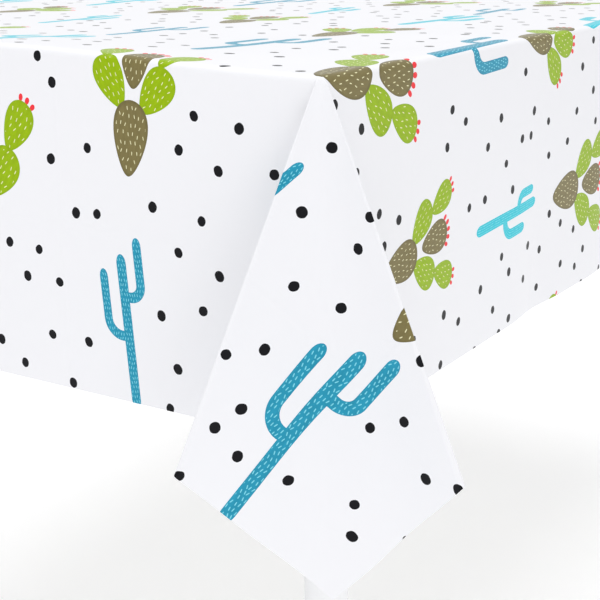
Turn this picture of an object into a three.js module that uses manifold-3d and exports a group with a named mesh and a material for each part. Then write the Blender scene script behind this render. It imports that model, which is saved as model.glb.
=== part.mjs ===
// Rectangular table under a plain-cut plastic film tablecloth.
// Millimetres, +Z up, +X along the length. The origin is on the floor under the middle of the table.
import * as THREE from 'three';
import { ConvexGeometry } from 'three/addons/geometries/ConvexGeometry.js';
import { mergeVertices } from 'three/addons/utils/BufferGeometryUtils.js';
import Module from 'manifold-3d';

const wasm = await Module();
wasm.setup();

// Table top
const TOP_LENGTH = 1372;
const TOP_WIDTH = 914;
const TABLE_HEIGHT = 750;
const TOP_THICKNESS = 25;
const BAND = 2;

// Tablecloth: a sheet TOP + 2 DROP each way, its corners folded into flat kites
const DROP = 229;
const FILM = 2;
const CLOTH_SIDE_GAP = 0.6;
const KITE_THICKNESS = 4;
const KITE_SINK = 0.5;
const KITE_LAP = 1;
const KITE_HALF_ANGLE = 22.5;
const KITE_POINT_OUT = 3;

// Underframe
const LEG_INSET_X = 80;
const LEG_INSET_Y = 40;
const LEG_RADIUS = 16;
const LEG_WALL = 1.5;
const RAIL_HEIGHT = 40;
const RAIL_WIDTH = 20;
const RAIL_WALL = 1.5;
const BLOCK_RADIUS = 23;
const BLOCK_HEIGHT = 45;
const BLOCK_SOCKET = 35;
const FLANGE = 72;
const FLANGE_THICKNESS = 5;
const SPIGOT = 30;
const SADDLE_LENGTH = 30;
const SADDLE_WALL = 2;

// Fasteners
const SCREW_RADIUS = 2.2;
const SCREW_LENGTH = 22;
const SCREW_HEAD_RADIUS = 4.5;
const SCREW_HEAD = 3;
const SCREW_SPREAD = 28;
const SET_SCREW_RADIUS = 4;
const SET_SCREW_DROP = 12;
const SET_SCREW_LENGTH = 6;
const SET_SCREW_KEY_RADIUS = 2.3;
const SET_SCREW_KEY_DEPTH = 3;

// Levelling feet
const PAD_RADIUS = 20;
const PAD_HEIGHT = 8;
const PAD_EDGE = 2;
const STUD_RADIUS = 4;
const STUD_TOP = 46;
const STUD_SEAT = 3;
const COLLAR_FLATS = 17;
const COLLAR_HEIGHT = 5.4;
const PLUG_FLANGE = 3;
const PLUG_BODY = 20;

const GAP = 0.3;
const ROUND = 24;
const SMALL_ROUND = 12;

const TOP_UNDERSIDE = TABLE_HEIGHT - TOP_THICKNESS;
const FRAME_TOP = TOP_UNDERSIDE - GAP;
const COLLAR_TOP = PAD_HEIGHT + GAP + COLLAR_HEIGHT;
const PLUG_BOTTOM = COLLAR_TOP + GAP;
const LEG_BOTTOM = PLUG_BOTTOM + PLUG_FLANGE + GAP;
const LEG_TOP = FRAME_TOP - BLOCK_HEIGHT + BLOCK_SOCKET - GAP;
const LEG_X = TOP_LENGTH / 2 - LEG_INSET_X;
const LEG_Y = TOP_WIDTH / 2 - LEG_INSET_Y;
const CLOTH_TOP = TABLE_HEIGHT + GAP + FILM;

// leftOut and rightOut: how far each wing of the corner's kite stands out from the table, in degrees
const CORNERS = [
  { name: 'front_left', sx: -1, sy: -1, leftOut: 5, rightOut: 15 },
  { name: 'front_right', sx: 1, sy: -1, leftOut: 12, rightOut: 4 },
  { name: 'back_right', sx: 1, sy: 1, leftOut: 5, rightOut: 15 },
  { name: 'back_left', sx: -1, sy: 1, leftOut: 12, rightOut: 4 },
];

const SCREW_PLACES = [
  { name: 'a', x: SCREW_SPREAD, y: SCREW_SPREAD },
  { name: 'b', x: SCREW_SPREAD, y: -SCREW_SPREAD },
  { name: 'c', x: -SCREW_SPREAD, y: -SCREW_SPREAD },
  { name: 'd', x: -SCREW_SPREAD, y: SCREW_SPREAD },
];

const MATERIALS = {
  film: { color: 0xf3f3f5, roughness: 0.3, metalness: 0 },
  laminate: { color: 0xe9e7e1, roughness: 0.45, metalness: 0 },
  banding: { color: 0xd9d6cd, roughness: 0.5, metalness: 0 },
  painted_steel: { color: 0xe4e5e6, roughness: 0.4, metalness: 0.1 },
  cast_alloy: { color: 0xb9bcc0, roughness: 0.45, metalness: 0.8 },
  zinc_steel: { color: 0xb4b6b2, roughness: 0.35, metalness: 0.9 },
  black_steel: { color: 0x2b2c2e, roughness: 0.5, metalness: 0.6 },
  nylon: { color: 0x35373a, roughness: 0.6, metalness: 0 },
};

const table = new THREE.Group();
table.name = 'table_with_tablecloth';

function addPiece(name, geometry, finish) {
  const mesh = new THREE.Mesh(geometry, new THREE.MeshStandardMaterial(MATERIALS[finish]));
  mesh.name = name;
  table.add(mesh);
}

// Booleans on closed meshes

function toSolid(geometry) {
  const bare = geometry.clone();
  bare.deleteAttribute('normal');
  bare.deleteAttribute('uv');
  const merged = mergeVertices(bare);
  const vertProperties = new Float32Array(merged.attributes.position.array);
  const triVerts = new Uint32Array(merged.index.array);
  return new wasm.Manifold(new wasm.Mesh({ numProp: 3, vertProperties, triVerts }));
}

function toGeometry(solid) {
  const mesh = solid.getMesh();
  const geometry = new THREE.BufferGeometry();
  geometry.setAttribute('position', new THREE.BufferAttribute(new Float32Array(mesh.vertProperties), 3));
  geometry.setIndex(new THREE.BufferAttribute(new Uint32Array(mesh.triVerts), 1));
  geometry.computeVertexNormals();
  return geometry;
}

// Shapes in place: a box from its low to its high corner, a bar along Z, a turned profile

function box(low, high) {
  const size = high.map((value, axis) => value - low[axis]);
  const middle = high.map((value, axis) => (value + low[axis]) / 2);
  return new THREE.BoxGeometry(...size).translate(...middle);
}

function bar(radius, bottom, top, sides = ROUND) {
  const height = top - bottom;
  const cylinder = new THREE.CylinderGeometry(radius, radius, height, sides);
  return cylinder.rotateX(Math.PI / 2).translate(0, 0, bottom + height / 2);
}

function turned(profile, sides = ROUND) {
  const points = profile.map(([radius, height]) => new THREE.Vector2(radius, height));
  return new THREE.LatheGeometry(points, sides).rotateX(Math.PI / 2);
}

// Rectangular tube lying along X, centred on the origin
function boxTube(length) {
  const outline = rectangle(RAIL_WIDTH, RAIL_HEIGHT);
  outline.holes.push(rectangle(RAIL_WIDTH - 2 * RAIL_WALL, RAIL_HEIGHT - 2 * RAIL_WALL));
  const tube = new THREE.ExtrudeGeometry(outline, { depth: length, bevelEnabled: false });
  return tube.translate(0, 0, -length / 2).rotateX(Math.PI / 2).rotateZ(Math.PI / 2);
}

function rectangle(width, height) {
  const shape = new THREE.Shape();
  shape.moveTo(-width / 2, -height / 2);
  shape.lineTo(width / 2, -height / 2);
  shape.lineTo(width / 2, height / 2);
  shape.lineTo(-width / 2, height / 2);
  shape.closePath();
  return shape;
}

// Table top: a laminated board, bored from below for the screws, with four glued edge bands

function tableTop() {
  const halfLength = TOP_LENGTH / 2 - BAND - GAP;
  const halfWidth = TOP_WIDTH / 2 - BAND - GAP;
  let board = toSolid(box([-halfLength, -halfWidth, TOP_UNDERSIDE], [halfLength, halfWidth, TABLE_HEIGHT]));
  const holeTop = FRAME_TOP - FLANGE_THICKNESS + SCREW_LENGTH + 1;
  const hole = bar(SCREW_RADIUS + GAP, TOP_UNDERSIDE - 1, holeTop, SMALL_ROUND);
  for (const corner of CORNERS) {
    for (const place of SCREW_PLACES) {
      const x = corner.sx * LEG_X + place.x;
      const y = corner.sy * LEG_Y + place.y;
      board = board.subtract(toSolid(hole.clone().translate(x, y, 0)));
    }
  }
  addPiece('table_top', toGeometry(board), 'laminate');
}

function edgeBands() {
  const x = TOP_LENGTH / 2;
  const y = TOP_WIDTH / 2;
  const low = TOP_UNDERSIDE;
  const high = TABLE_HEIGHT;
  const end = y - BAND - GAP;
  addPiece('edge_band_front', box([-x, -y, low], [x, -y + BAND, high]), 'banding');
  addPiece('edge_band_back', box([-x, y - BAND, low], [x, y, high]), 'banding');
  addPiece('edge_band_left', box([-x, -end, low], [-x + BAND, end, high]), 'banding');
  addPiece('edge_band_right', box([x - BAND, -end, low], [x, end, high]), 'banding');
}

// Corner block: a flange under the top, a round socket for the leg and a spigot for each rail

function cornerBlock(corner) {
  const bottom = FRAME_TOP - BLOCK_HEIGHT;
  const half = FLANGE / 2;
  const tongue = RAIL_WIDTH / 2 - RAIL_WALL - GAP;
  const reach = half + SPIGOT;
  const low = FRAME_TOP - RAIL_HEIGHT + RAIL_WALL + GAP;
  const high = FRAME_TOP - RAIL_WALL - GAP;
  const inX = -corner.sx * reach;
  const inY = -corner.sy * reach;
  let block = toSolid(bar(BLOCK_RADIUS, bottom, FRAME_TOP));
  block = block.add(toSolid(box([-half, -half, FRAME_TOP - FLANGE_THICKNESS], [half, half, FRAME_TOP])));
  block = block.add(toSolid(box([Math.min(0, inX), -tongue, low], [Math.max(0, inX), tongue, high])));
  block = block.add(toSolid(box([-tongue, Math.min(0, inY), low], [tongue, Math.max(0, inY), high])));
  block = block.subtract(toSolid(bar(LEG_RADIUS + GAP, bottom - 1, bottom + BLOCK_SOCKET)));
  for (const place of SCREW_PLACES) {
    const hole = bar(SCREW_RADIUS + GAP, FRAME_TOP - FLANGE_THICKNESS - 1, FRAME_TOP + 1, SMALL_ROUND);
    block = block.subtract(toSolid(hole.translate(place.x, place.y, 0)));
  }
  const bore = bar(SET_SCREW_RADIUS + GAP, 0, BLOCK_RADIUS + 2, SMALL_ROUND);
  block = block.subtract(toSolid(setScrewPlace(bore, corner)));
  const placed = toGeometry(block).translate(corner.sx * LEG_X, corner.sy * LEG_Y, 0);
  addPiece(`corner_block_${corner.name}`, placed, 'cast_alloy');
}

// Turns a bar on the Z axis to point from the leg's axis towards the middle of the table
function setScrewPlace(geometry, corner) {
  const height = FRAME_TOP - BLOCK_HEIGHT + SET_SCREW_DROP;
  const heading = Math.atan2(-corner.sy, -corner.sx);
  return geometry.rotateY(Math.PI / 2).rotateZ(heading).translate(0, 0, height);
}

function setScrew(corner) {
  const start = LEG_RADIUS + 2 * GAP;
  const end = start + SET_SCREW_LENGTH;
  const body = toSolid(bar(SET_SCREW_RADIUS, start, end, SMALL_ROUND));
  const key = toSolid(bar(SET_SCREW_KEY_RADIUS, end - SET_SCREW_KEY_DEPTH, end + 1, 6));
  const screw = setScrewPlace(toGeometry(body.subtract(key)), corner);
  addPiece(`leg_set_screw_${corner.name}`, screw.translate(corner.sx * LEG_X, corner.sy * LEG_Y, 0), 'black_steel');
}

function topScrew(corner, place) {
  const seat = FRAME_TOP - FLANGE_THICKNESS - GAP;
  const tip = seat + SCREW_LENGTH;
  const screw = turned([
    [0, seat - SCREW_HEAD],
    [SCREW_HEAD_RADIUS - 1, seat - SCREW_HEAD],
    [SCREW_HEAD_RADIUS, seat - SCREW_HEAD + 1],
    [SCREW_HEAD_RADIUS, seat],
    [SCREW_RADIUS, seat],
    [SCREW_RADIUS, tip - SCREW_RADIUS],
    [0, tip],
  ], SMALL_ROUND);
  const x = corner.sx * LEG_X + place.x;
  const y = corner.sy * LEG_Y + place.y;
  addPiece(`top_screw_${corner.name}_${place.name}`, screw.translate(x, y, 0), 'zinc_steel');
}

function leg(corner) {
  const outline = new THREE.Shape();
  outline.absarc(0, 0, LEG_RADIUS, 0, 2 * Math.PI, false);
  const bore = new THREE.Path();
  bore.absarc(0, 0, LEG_RADIUS - LEG_WALL, 0, 2 * Math.PI, true);
  outline.holes.push(bore);
  const depth = LEG_TOP - LEG_BOTTOM;
  const tube = new THREE.ExtrudeGeometry(outline, { depth, bevelEnabled: false, curveSegments: ROUND });
  addPiece(`leg_${corner.name}`, tube.translate(corner.sx * LEG_X, corner.sy * LEG_Y, LEG_BOTTOM), 'painted_steel');
}

// Levelling foot: a stud with a hexagon collar screws into the leg's plug and stands on a pad

function foot(corner) {
  const x = corner.sx * LEG_X;
  const y = corner.sy * LEG_Y;
  const pad = turned([
    [0, 0],
    [PAD_RADIUS - PAD_EDGE, 0],
    [PAD_RADIUS, PAD_EDGE],
    [PAD_RADIUS, PAD_HEIGHT - PAD_EDGE],
    [PAD_RADIUS - PAD_EDGE, PAD_HEIGHT],
    [STUD_RADIUS + GAP, PAD_HEIGHT],
    [STUD_RADIUS + GAP, STUD_SEAT],
    [0, STUD_SEAT],
  ]);
  addPiece(`foot_pad_${corner.name}`, pad.translate(x, y, 0), 'nylon');

  const shank = toSolid(bar(STUD_RADIUS, STUD_SEAT + GAP, STUD_TOP, SMALL_ROUND));
  const collarRadius = COLLAR_FLATS / Math.sqrt(3);
  const collar = toSolid(bar(collarRadius, PAD_HEIGHT + GAP, COLLAR_TOP, 6));
  addPiece(`foot_stud_${corner.name}`, toGeometry(shank.add(collar)).translate(x, y, 0), 'zinc_steel');

  const bore = STUD_RADIUS + GAP;
  const body = LEG_RADIUS - LEG_WALL - GAP;
  const flangeTop = PLUG_BOTTOM + PLUG_FLANGE;
  const plug = turned([
    [bore, PLUG_BOTTOM],
    [LEG_RADIUS, PLUG_BOTTOM],
    [LEG_RADIUS, flangeTop],
    [body, flangeTop],
    [body, flangeTop + PLUG_BODY],
    [bore, flangeTop + PLUG_BODY],
    [bore, PLUG_BOTTOM],
  ]);
  addPiece(`leg_plug_${corner.name}`, plug.translate(x, y, 0), 'nylon');
}

// Rails between the corner blocks, and one across the middle in two U-shaped saddles

function rails() {
  const long = 2 * (LEG_X - FLANGE / 2 - GAP);
  const short = 2 * (LEG_Y - FLANGE / 2 - GAP);
  const height = FRAME_TOP - RAIL_HEIGHT / 2;
  addPiece('rail_front', boxTube(long).translate(0, -LEG_Y, height), 'painted_steel');
  addPiece('rail_back', boxTube(long).translate(0, LEG_Y, height), 'painted_steel');
  addPiece('rail_left', boxTube(short).rotateZ(Math.PI / 2).translate(-LEG_X, 0, height), 'painted_steel');
  addPiece('rail_right', boxTube(short).rotateZ(Math.PI / 2).translate(LEG_X, 0, height), 'painted_steel');

  const between = LEG_Y - RAIL_WIDTH / 2 - GAP;
  addPiece('rail_middle', boxTube(2 * between).rotateZ(Math.PI / 2).translate(0, 0, height), 'painted_steel');
  addPiece('middle_saddle_front', saddle().translate(0, -between + SADDLE_LENGTH / 2, height), 'painted_steel');
  addPiece('middle_saddle_back', saddle().translate(0, between - SADDLE_LENGTH / 2, height), 'painted_steel');
}

// U-shaped channel that holds an end of the middle rail from below, centred along Y
function saddle() {
  const inner = RAIL_WIDTH / 2 + GAP;
  const outer = inner + SADDLE_WALL;
  const floor = -RAIL_HEIGHT / 2 - GAP;
  const rim = RAIL_HEIGHT / 4;
  const shape = new THREE.Shape();
  shape.moveTo(-outer, floor - SADDLE_WALL);
  shape.lineTo(outer, floor - SADDLE_WALL);
  shape.lineTo(outer, rim);
  shape.lineTo(inner, rim);
  shape.lineTo(inner, floor);
  shape.lineTo(-inner, floor);
  shape.lineTo(-inner, rim);
  shape.lineTo(-outer, rim);
  shape.closePath();
  const channel = new THREE.ExtrudeGeometry(shape, { depth: SADDLE_LENGTH, bevelEnabled: false });
  return channel.rotateX(Math.PI / 2).translate(0, SADDLE_LENGTH / 2, 0);
}

// Tablecloth: an open tray of film upside down over the top, with a hanging kite at each corner

function tablecloth() {
  const inX = TOP_LENGTH / 2 + CLOTH_SIDE_GAP;
  const inY = TOP_WIDTH / 2 + CLOTH_SIDE_GAP;
  const hem = CLOTH_TOP - DROP;
  let cloth = toSolid(box([-inX - FILM, -inY - FILM, hem], [inX + FILM, inY + FILM, CLOTH_TOP]));
  cloth = cloth.subtract(toSolid(box([-inX, -inY, hem - 1], [inX, inY, CLOTH_TOP - FILM])));
  for (const corner of CORNERS) {
    const outward = Math.atan2(corner.sy, corner.sx);
    const x = corner.sx * (inX + FILM);
    const y = corner.sy * (inY + FILM);
    for (const half of kiteHalves(corner)) {
      cloth = cloth.add(toSolid(half.rotateZ(outward).translate(x, y, CLOTH_TOP)));
    }
  }
  addPiece('tablecloth', toGeometry(cloth), 'film');
}

// The square corner of the sheet, DROP by DROP, folds along the two rays that lie KITE_HALF_ANGLE
// either side of its diagonal. Its front is a kite that hangs from the table's corner, point down,
// and bends along its middle. Here +X points out of the corner and +Y towards the right wing.
function kiteHalves(corner) {
  const wing = DROP / Math.cos(THREE.MathUtils.degToRad(KITE_HALF_ANGLE));
  const left = hanging(-sideways(corner.leftOut), corner.leftOut, wing);
  const right = hanging(sideways(corner.rightOut), corner.rightOut, wing);
  const point = hanging(0, KITE_POINT_OUT, DROP * Math.SQRT2);
  const top = new THREE.Vector3(0, 0, -KITE_LAP);
  const pastMiddle = (p, lap) => new THREE.Vector3(p.x, p.y + lap, p.z);
  const leftHalf = [pastMiddle(top, KITE_LAP), left, pastMiddle(point, KITE_LAP)];
  const rightHalf = [pastMiddle(top, -KITE_LAP), pastMiddle(point, -KITE_LAP), right];
  return [plate(leftHalf), plate(rightHalf)];
}

// A wing that stands out keeps its angle from the vertical, so it swings less to the side
function sideways(out) {
  return Math.sqrt(KITE_HALF_ANGLE ** 2 - out ** 2);
}

// The end of a line that hangs from the origin, leaning by degrees to the side and outwards
function hanging(side, out, length) {
  const lean = Math.hypot(side, out);
  const angle = THREE.MathUtils.degToRad(lean);
  const reach = length * Math.sin(angle) / lean;
  return new THREE.Vector3(reach * out, reach * side, -length * Math.cos(angle));
}

function plate(outline) {
  const inner = outline.map((p) => p.clone().setX(p.x - KITE_SINK - KITE_THICKNESS / 2));
  const outer = outline.map((p) => p.clone().setX(p.x - KITE_SINK + KITE_THICKNESS / 2));
  return new ConvexGeometry([...inner, ...outer]);
}

tableTop();
edgeBands();
rails();
for (const corner of CORNERS) {
  cornerBlock(corner);
  setScrew(corner);
  for (const place of SCREW_PLACES) {
    topScrew(corner, place);
  }
  leg(corner);
  foot(corner);
}
tablecloth();

export default table;
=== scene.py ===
"""A printed film tablecloth over a rectangular table.

Makes the sheet and its print, the table's finishes and the studio.
"""

import math

import bpy
import numpy as np
from bpy.props import FloatProperty, FloatVectorProperty, PointerProperty
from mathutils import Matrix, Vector


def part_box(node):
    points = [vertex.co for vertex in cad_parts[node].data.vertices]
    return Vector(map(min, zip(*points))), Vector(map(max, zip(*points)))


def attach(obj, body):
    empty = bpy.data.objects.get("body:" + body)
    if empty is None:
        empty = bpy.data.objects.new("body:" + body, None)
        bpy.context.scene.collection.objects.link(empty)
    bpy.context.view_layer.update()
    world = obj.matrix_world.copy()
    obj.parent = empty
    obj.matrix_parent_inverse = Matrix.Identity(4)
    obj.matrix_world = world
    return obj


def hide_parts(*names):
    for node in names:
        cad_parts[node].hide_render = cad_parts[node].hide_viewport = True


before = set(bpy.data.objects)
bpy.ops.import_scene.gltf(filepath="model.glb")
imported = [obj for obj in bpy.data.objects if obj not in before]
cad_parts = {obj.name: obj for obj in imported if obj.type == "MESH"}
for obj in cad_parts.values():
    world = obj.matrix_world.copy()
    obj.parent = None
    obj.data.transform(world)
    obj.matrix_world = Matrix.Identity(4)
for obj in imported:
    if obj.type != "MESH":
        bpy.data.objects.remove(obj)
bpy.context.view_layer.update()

bl_info = {
    "name": "Film Tablecloth on a Table",
    "version": (1, 0, 0),
    "blender": (4, 5, 0),
    "location": "View3D > Sidebar > Tablecloth",
    "description": "Lays a printed film tablecloth over a table and finishes the table under it",
    "category": "Object",
}

MM = 0.001
# Metres of film to one unit of a print map
PRINT_UNIT = 0.1
TABLE_LOW = np.array(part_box("edge_band_front")[0])
TABLE_HIGH = np.array(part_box("edge_band_back")[1])
HALF_TOP = (TABLE_HIGH[:2] - TABLE_LOW[:2]) / 2
TOP_HEIGHT = float(TABLE_HIGH[2])

# Each corner: its name, the way out of the skirt on its left as seen from outside, and for the
# left and the right wing of the fold its width and how far it stands out, all in degrees
CORNERS = (
    ("front_left", (-1, 0), (22.8, 6.0), (24.0, 18.5)),
    ("front_right", (0, -1), (22.5, 12.0), (22.5, 4.0)),
    ("back_right", (1, 0), (22.8, 6.0), (24.0, 18.5)),
    ("back_left", (0, 1), (22.5, 12.0), (22.5, 4.0)),
)

# A pad of a prickly pear, in millimetres: centre across and up, lean to the left in degrees,
# half length, half width, colour, number of fruits on its rim and where their middle is in degrees
BROAD_PEAR = (
    (-46, 128, 26, 24, 15, "green", 3, 0),
    (38, 132, -18, 25, 15, "green", 3, 0),
    (0, 112, 0, 30, 17, "olive", 5, 0),
    (-27, 84, 34, 27, 17, "green", 0, 0),
    (27, 84, -34, 27, 17, "green", 0, 0),
    (0, 34, 0, 37, 20, "olive", 0, 0),
)
SLIM_PEAR = (
    (20, 92, -20, 17, 10, "olive", 3, 0),
    (0, 74, 0, 21, 11, "green", 3, 0),
    (-18, 58, 34, 19, 11, "green", 3, 0),
    (16, 56, -34, 18, 11, "green", 0, 0),
    (0, 24, 0, 26, 12, "olive", 0, 0),
)

# A saguaro, in millimetres: trunk height, half width at the foot and at the top, and for each arm
# its side, reach from the trunk, height of the elbow, height of the tip, half width and bend
DASHED_SAGUARO = ((108, 4.5, 4.7), ((-1, 19, 65, 97, 4.1, 14), (1, 17, 92, 122, 4.2, 10)))
STRIPED_SAGUARO = ((110, 4.6, 4.4), ((1, 16.5, 62, 84, 4.4, 13), (-1, 12.5, 88, 104, 4.0, 10.5)))
# Past a limb's end, distances count this much: below 1 draws the round tip out
TIP_STRETCH = 0.6
# How much a pad's half width grows from its middle to its tip, as a share
EGG = 0.36
# Angle from one fruit to the next in radians, and how far fruits stand past the rim in millimetres
FRUIT_STEP = 0.33
FRUIT_REACH = 6
# The dashes stop at this share of a pad's width and length
DASHED_SHARE = 0.87
# Half width and half length of a dot, in millimetres
DOT_RADII = (3.3, 3.6)

# The print repeats, in millimetres across and up. Its motifs stand in even columns, every second
# column half a step higher, and take these kinds and sizes in turn
REPEAT = (560, 760)
COLUMNS, ROWS = 4, 5
TURNS = (
    ("broad_pear", 0.78), ("dashed_saguaro", 1.1), ("slim_pear", 1.05), ("striped_saguaro", 1.15),
    ("dashed_saguaro", 0.85), ("broad_pear", 0.66), ("striped_saguaro", 0.95),
)
# Most that a motif leans to either side, in degrees
MOST_LEAN = 9
# In millimetres: from one dot to the next, most that a dot is moved, and least to a motif
DOT_SPACING = 38
DOT_JITTER = 11
DOT_CLEARANCE = 9
# Repeats of the print to lay, and how far past the sheet a motif may stand, in millimetres
REPEATS = range(-4, 5)
SHEET_MARGIN = 260
# Added to a motif's reach when the places near it are picked, and a distance past every reach
REACH_MARGIN = 20
FAR = 1000.0
# A face belongs to a motif that is within this many cells of the face's middle
FACE_MARGIN = 1.2
# Start of the seeded draws
SEED = 11

# The film's low swells on the table: their height, and how far from the edges they fade, in metres
SWELL = 0.0006
SWELL_FADE = 0.08
# From each corner, how far the waves of the hanging sides and the rise of an edge take to build up
WAVE_FADE = 0.1
RISE_FADE = 0.25
# How far to either side of a fold's middle its front stays nearly level, in degrees
LEVEL_REACH = 7


# ---------------------------------------------------------------- settings


def colour_property(name, description, default):
    return FloatVectorProperty(
        name=name, description=description, default=default, subtype="COLOR", size=3, min=0, max=1
    )


def length_property(name, description, default):
    return FloatProperty(name=name, description=description, default=default, unit="LENGTH")


def angle_property(name, description, degrees):
    return FloatProperty(
        name=name, description=description, default=math.radians(degrees), subtype="ANGLE"
    )


class ClothSettings(bpy.types.PropertyGroup):
    drop: length_property(
        "Drop", "Length of film past the table's edge, with its turn over the edge", 0.231
    )
    thickness: length_property("Film thickness", "Modelled thickness of the film", 0.0004)
    lift: length_property("Rest height", "Height of the film's middle over the table top", 0.0009)
    edge_radius: length_property(
        "Edge radius", "Radius of the film where it turns over the table's edge", 0.005
    )
    edge_rise: length_property(
        "Edge rise", "How far the film stands off the short edges between the corners", 0.007
    )
    cell: length_property("Cell", "Width of the sheet's grid", 0.010)
    wave: length_property("Skirt wave", "Height of the hanging sides' waves at the hem", 0.0016)
    ripple: length_property(
        "Point ripple", "Height of the ripples at the point of a folded corner", 0.003
    )
    fold_turn: angle_property("Fold turn", "Half the angle between the two layers at a fold", 0.45)
    point_out: angle_property("Point out", "How far the middle of a folded corner stands out", 4.3)


class PrintSettings(bpy.types.PropertyGroup):
    ground: colour_property("Ground", "White of the film", (0.84, 0.842, 0.862))
    green: colour_property("Green pad", "Colour of the green pads", (0.29, 0.45, 0.002))
    olive: colour_property("Olive pad", "Colour of the olive pads", (0.195, 0.162, 0.062))
    cream: colour_property("Dashes", "Colour of the dashes on the pads", (0.85, 0.82, 0.5))
    fruit: colour_property("Fruit", "Colour of the fruits", (0.85, 0.04, 0.05))
    teal: colour_property("Teal", "Colour of the dashed saguaros", (0.02, 0.28, 0.42))
    teal_dash: colour_property("Teal dashes", "Colour of their dashes", (0.2, 0.64, 0.74))
    turquoise: colour_property("Turquoise", "Colour of the striped saguaros", (0.01, 0.55, 0.66))
    turquoise_line: colour_property("Stripes", "Colour of their lines", (0.35, 0.83, 0.87))
    black: colour_property("Dots", "Colour of the dots", (0.005, 0.005, 0.007))


class StageSettings(bpy.types.PropertyGroup):
    lens: FloatProperty(
        name="Lens", description="Focal length of the camera in millimetres", default=77.4,
    )
    heading: angle_property("Heading", "Way the camera looks, from +X towards +Y", 31.7)
    pitch: angle_property("Pitch", "How far the camera looks down", 16.16)
    stand: FloatVectorProperty(
        name="Stand", description="Camera's place from the front left corner of the table top",
        default=(-0.645, -0.3853, 0.0834), subtype="TRANSLATION", unit="LENGTH",
    )
    floor: colour_property("Floor", "Colour of the studio floor", (0.9, 0.9, 0.9))


# ---------------------------------------------------------------- mesh helpers


def make_piece(name, points, faces):
    """A new mesh object in the scene from corner places and lists of corner numbers."""
    mesh = bpy.data.meshes.new(name)
    mesh.from_pydata(points.tolist(), [], faces)
    mesh.update()
    piece = bpy.data.objects.new(name, mesh)
    bpy.context.scene.collection.objects.link(piece)
    return piece


def grid_quads(rows, columns, closed=False):
    """Corner numbers of the cells of a grid of rows by columns, round the columns too if closed."""
    row, column = np.meshgrid(
        np.arange(rows - 1), np.arange(columns if closed else columns - 1), indexing="ij"
    )
    following = (column + 1) % columns
    corners = (
        row * columns + column,
        (row + 1) * columns + column,
        (row + 1) * columns + following,
        row * columns + following,
    )
    return np.stack(corners, axis=-1).reshape(-1, 4)


def shade_smooth(piece):
    piece.data.polygons.foreach_set("use_smooth", np.ones(len(piece.data.polygons), dtype=bool))


# ---------------------------------------------------------------- the sheet's shape


def spaced(low, high, step):
    return np.linspace(low, high, max(2, int(round((high - low) / step)) + 1))


def samples_past_edge(drop, radius, step):
    """Distances from the table's edge down the sheet, close together where the film turns over."""
    turn = radius * math.pi / 2
    return np.concatenate([np.linspace(0, turn, 6), spaced(turn, drop, step)[1:]])


def over_edge(distance, radius):
    """Out and down from the table's edge: along a quarter circle, then straight down."""
    angle = np.minimum(distance / radius, math.pi / 2)
    out = radius * np.sin(angle)
    down = radius * (1 - np.cos(angle)) + np.maximum(distance - radius * math.pi / 2, 0)
    return out, down


def eased(share):
    """0 below 0, 1 above 1, and a smooth step between."""
    share = np.clip(share, 0, 1)
    return share * share * (3 - 2 * share)


def skirt_wave(along, half, share, settings):
    """Three sines along the edge, none at the corners, growing with the share of the drop."""
    sines = (
        np.sin(along * 23.0 + half * 9)
        + 0.7 * np.sin(along * 37.0 + 1.3)
        + 0.5 * np.sin(along * 61.0 + 4.1)
    )
    return settings.wave * sines * eased((half - np.abs(along)) / WAVE_FADE) * share ** 1.3


def edge_rise(along, settings):
    """How far the film stands off a short edge: nothing at its corners, then a smooth step up."""
    return settings.edge_rise * eased((HALF_TOP[1] - np.abs(along)) / RISE_FADE)


def top_patch(lines_x, lines_y, settings):
    """The flat part: low swells that fade at the edges, and the rise along the short edges."""
    x, y = np.meshgrid(lines_x, lines_y, indexing="ij")
    fade = np.clip((HALF_TOP[0] - np.abs(x)) / SWELL_FADE, 0, 1)
    fade = fade * np.clip((HALF_TOP[1] - np.abs(y)) / SWELL_FADE, 0, 1)
    swell = 0.5 + 0.25 * np.sin(x * 11 + 2 * np.sin(y * 7)) + 0.25 * np.sin(y * 17 + x * 5)
    rise = edge_rise(y, settings) * np.exp(-((HALF_TOP[0] - np.abs(x)) / 0.1) ** 2)
    z = TOP_HEIGHT + settings.lift + SWELL * fade * swell + rise
    return np.stack([x, y], axis=-1), np.stack([x, y, z], axis=-1)


def skirt_patch(axis, sign, along_lines, past, settings):
    """One hanging side: out and down over the edge, plus a wave outwards, another on each side."""
    s, along = np.meshgrid(past, along_lines, indexing="ij")
    out, down = over_edge(s, settings.edge_radius)
    half_along = HALF_TOP[1 - axis]
    shifted = along + 0.37 * sign + 0.11 * axis
    out = out + skirt_wave(shifted, half_along, s / settings.drop, settings)
    rise = edge_rise(along, settings) * (1 - s / settings.drop) if axis == 0 else 0
    flat, place = np.empty(s.shape + (2,)), np.empty(s.shape + (3,))
    flat[..., axis] = sign * (HALF_TOP[axis] + s)
    flat[..., 1 - axis] = along
    place[..., axis] = sign * (HALF_TOP[axis] + out)
    place[..., 1 - axis] = along
    place[..., 2] = TOP_HEIGHT + settings.lift - down + rise
    return flat, place


def pulled(start, pull, end, count):
    """A curve from start to end that leans towards pull: the quadratic through three points."""
    t = np.linspace(0, 1, count)[:, None]
    return (1 - t) ** 2 * start + 2 * t * (1 - t) * pull + t ** 2 * end


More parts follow.
